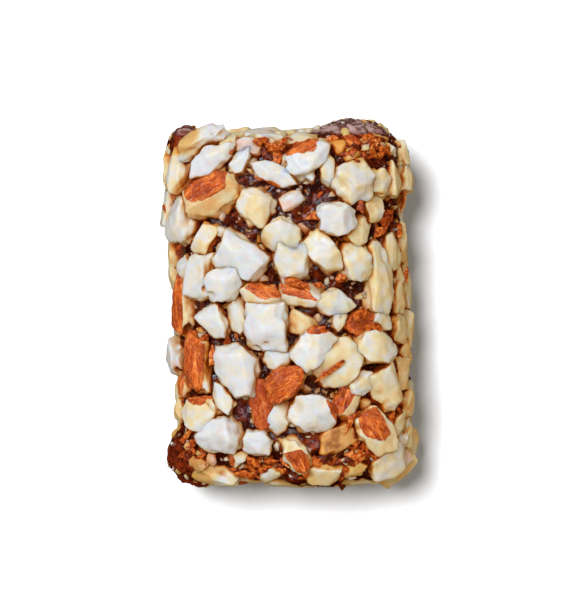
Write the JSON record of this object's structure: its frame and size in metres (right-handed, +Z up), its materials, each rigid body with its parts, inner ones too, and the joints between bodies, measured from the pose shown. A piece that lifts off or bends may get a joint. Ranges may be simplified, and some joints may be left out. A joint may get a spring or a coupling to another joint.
{
  "type": "date roll",
  "caption": "Short log of pressed date paste, lying on its side, with chopped almond pieces sunk all over its outside.",
  "frame": {"origin": "middle of the roll's resting flat, on the surface it lies on", "axes": "+Y along the log, from its near end to its far end; +Z up; +X across the log, to its right"},
  "size_m": [0.0312, 0.0442, 0.0275],
  "materials": {
    "chopped_almond": "satin"
  },
  "bodies": {
    "root": {"date_roll": "chopped_almond"}
  },
  "joints": []
}
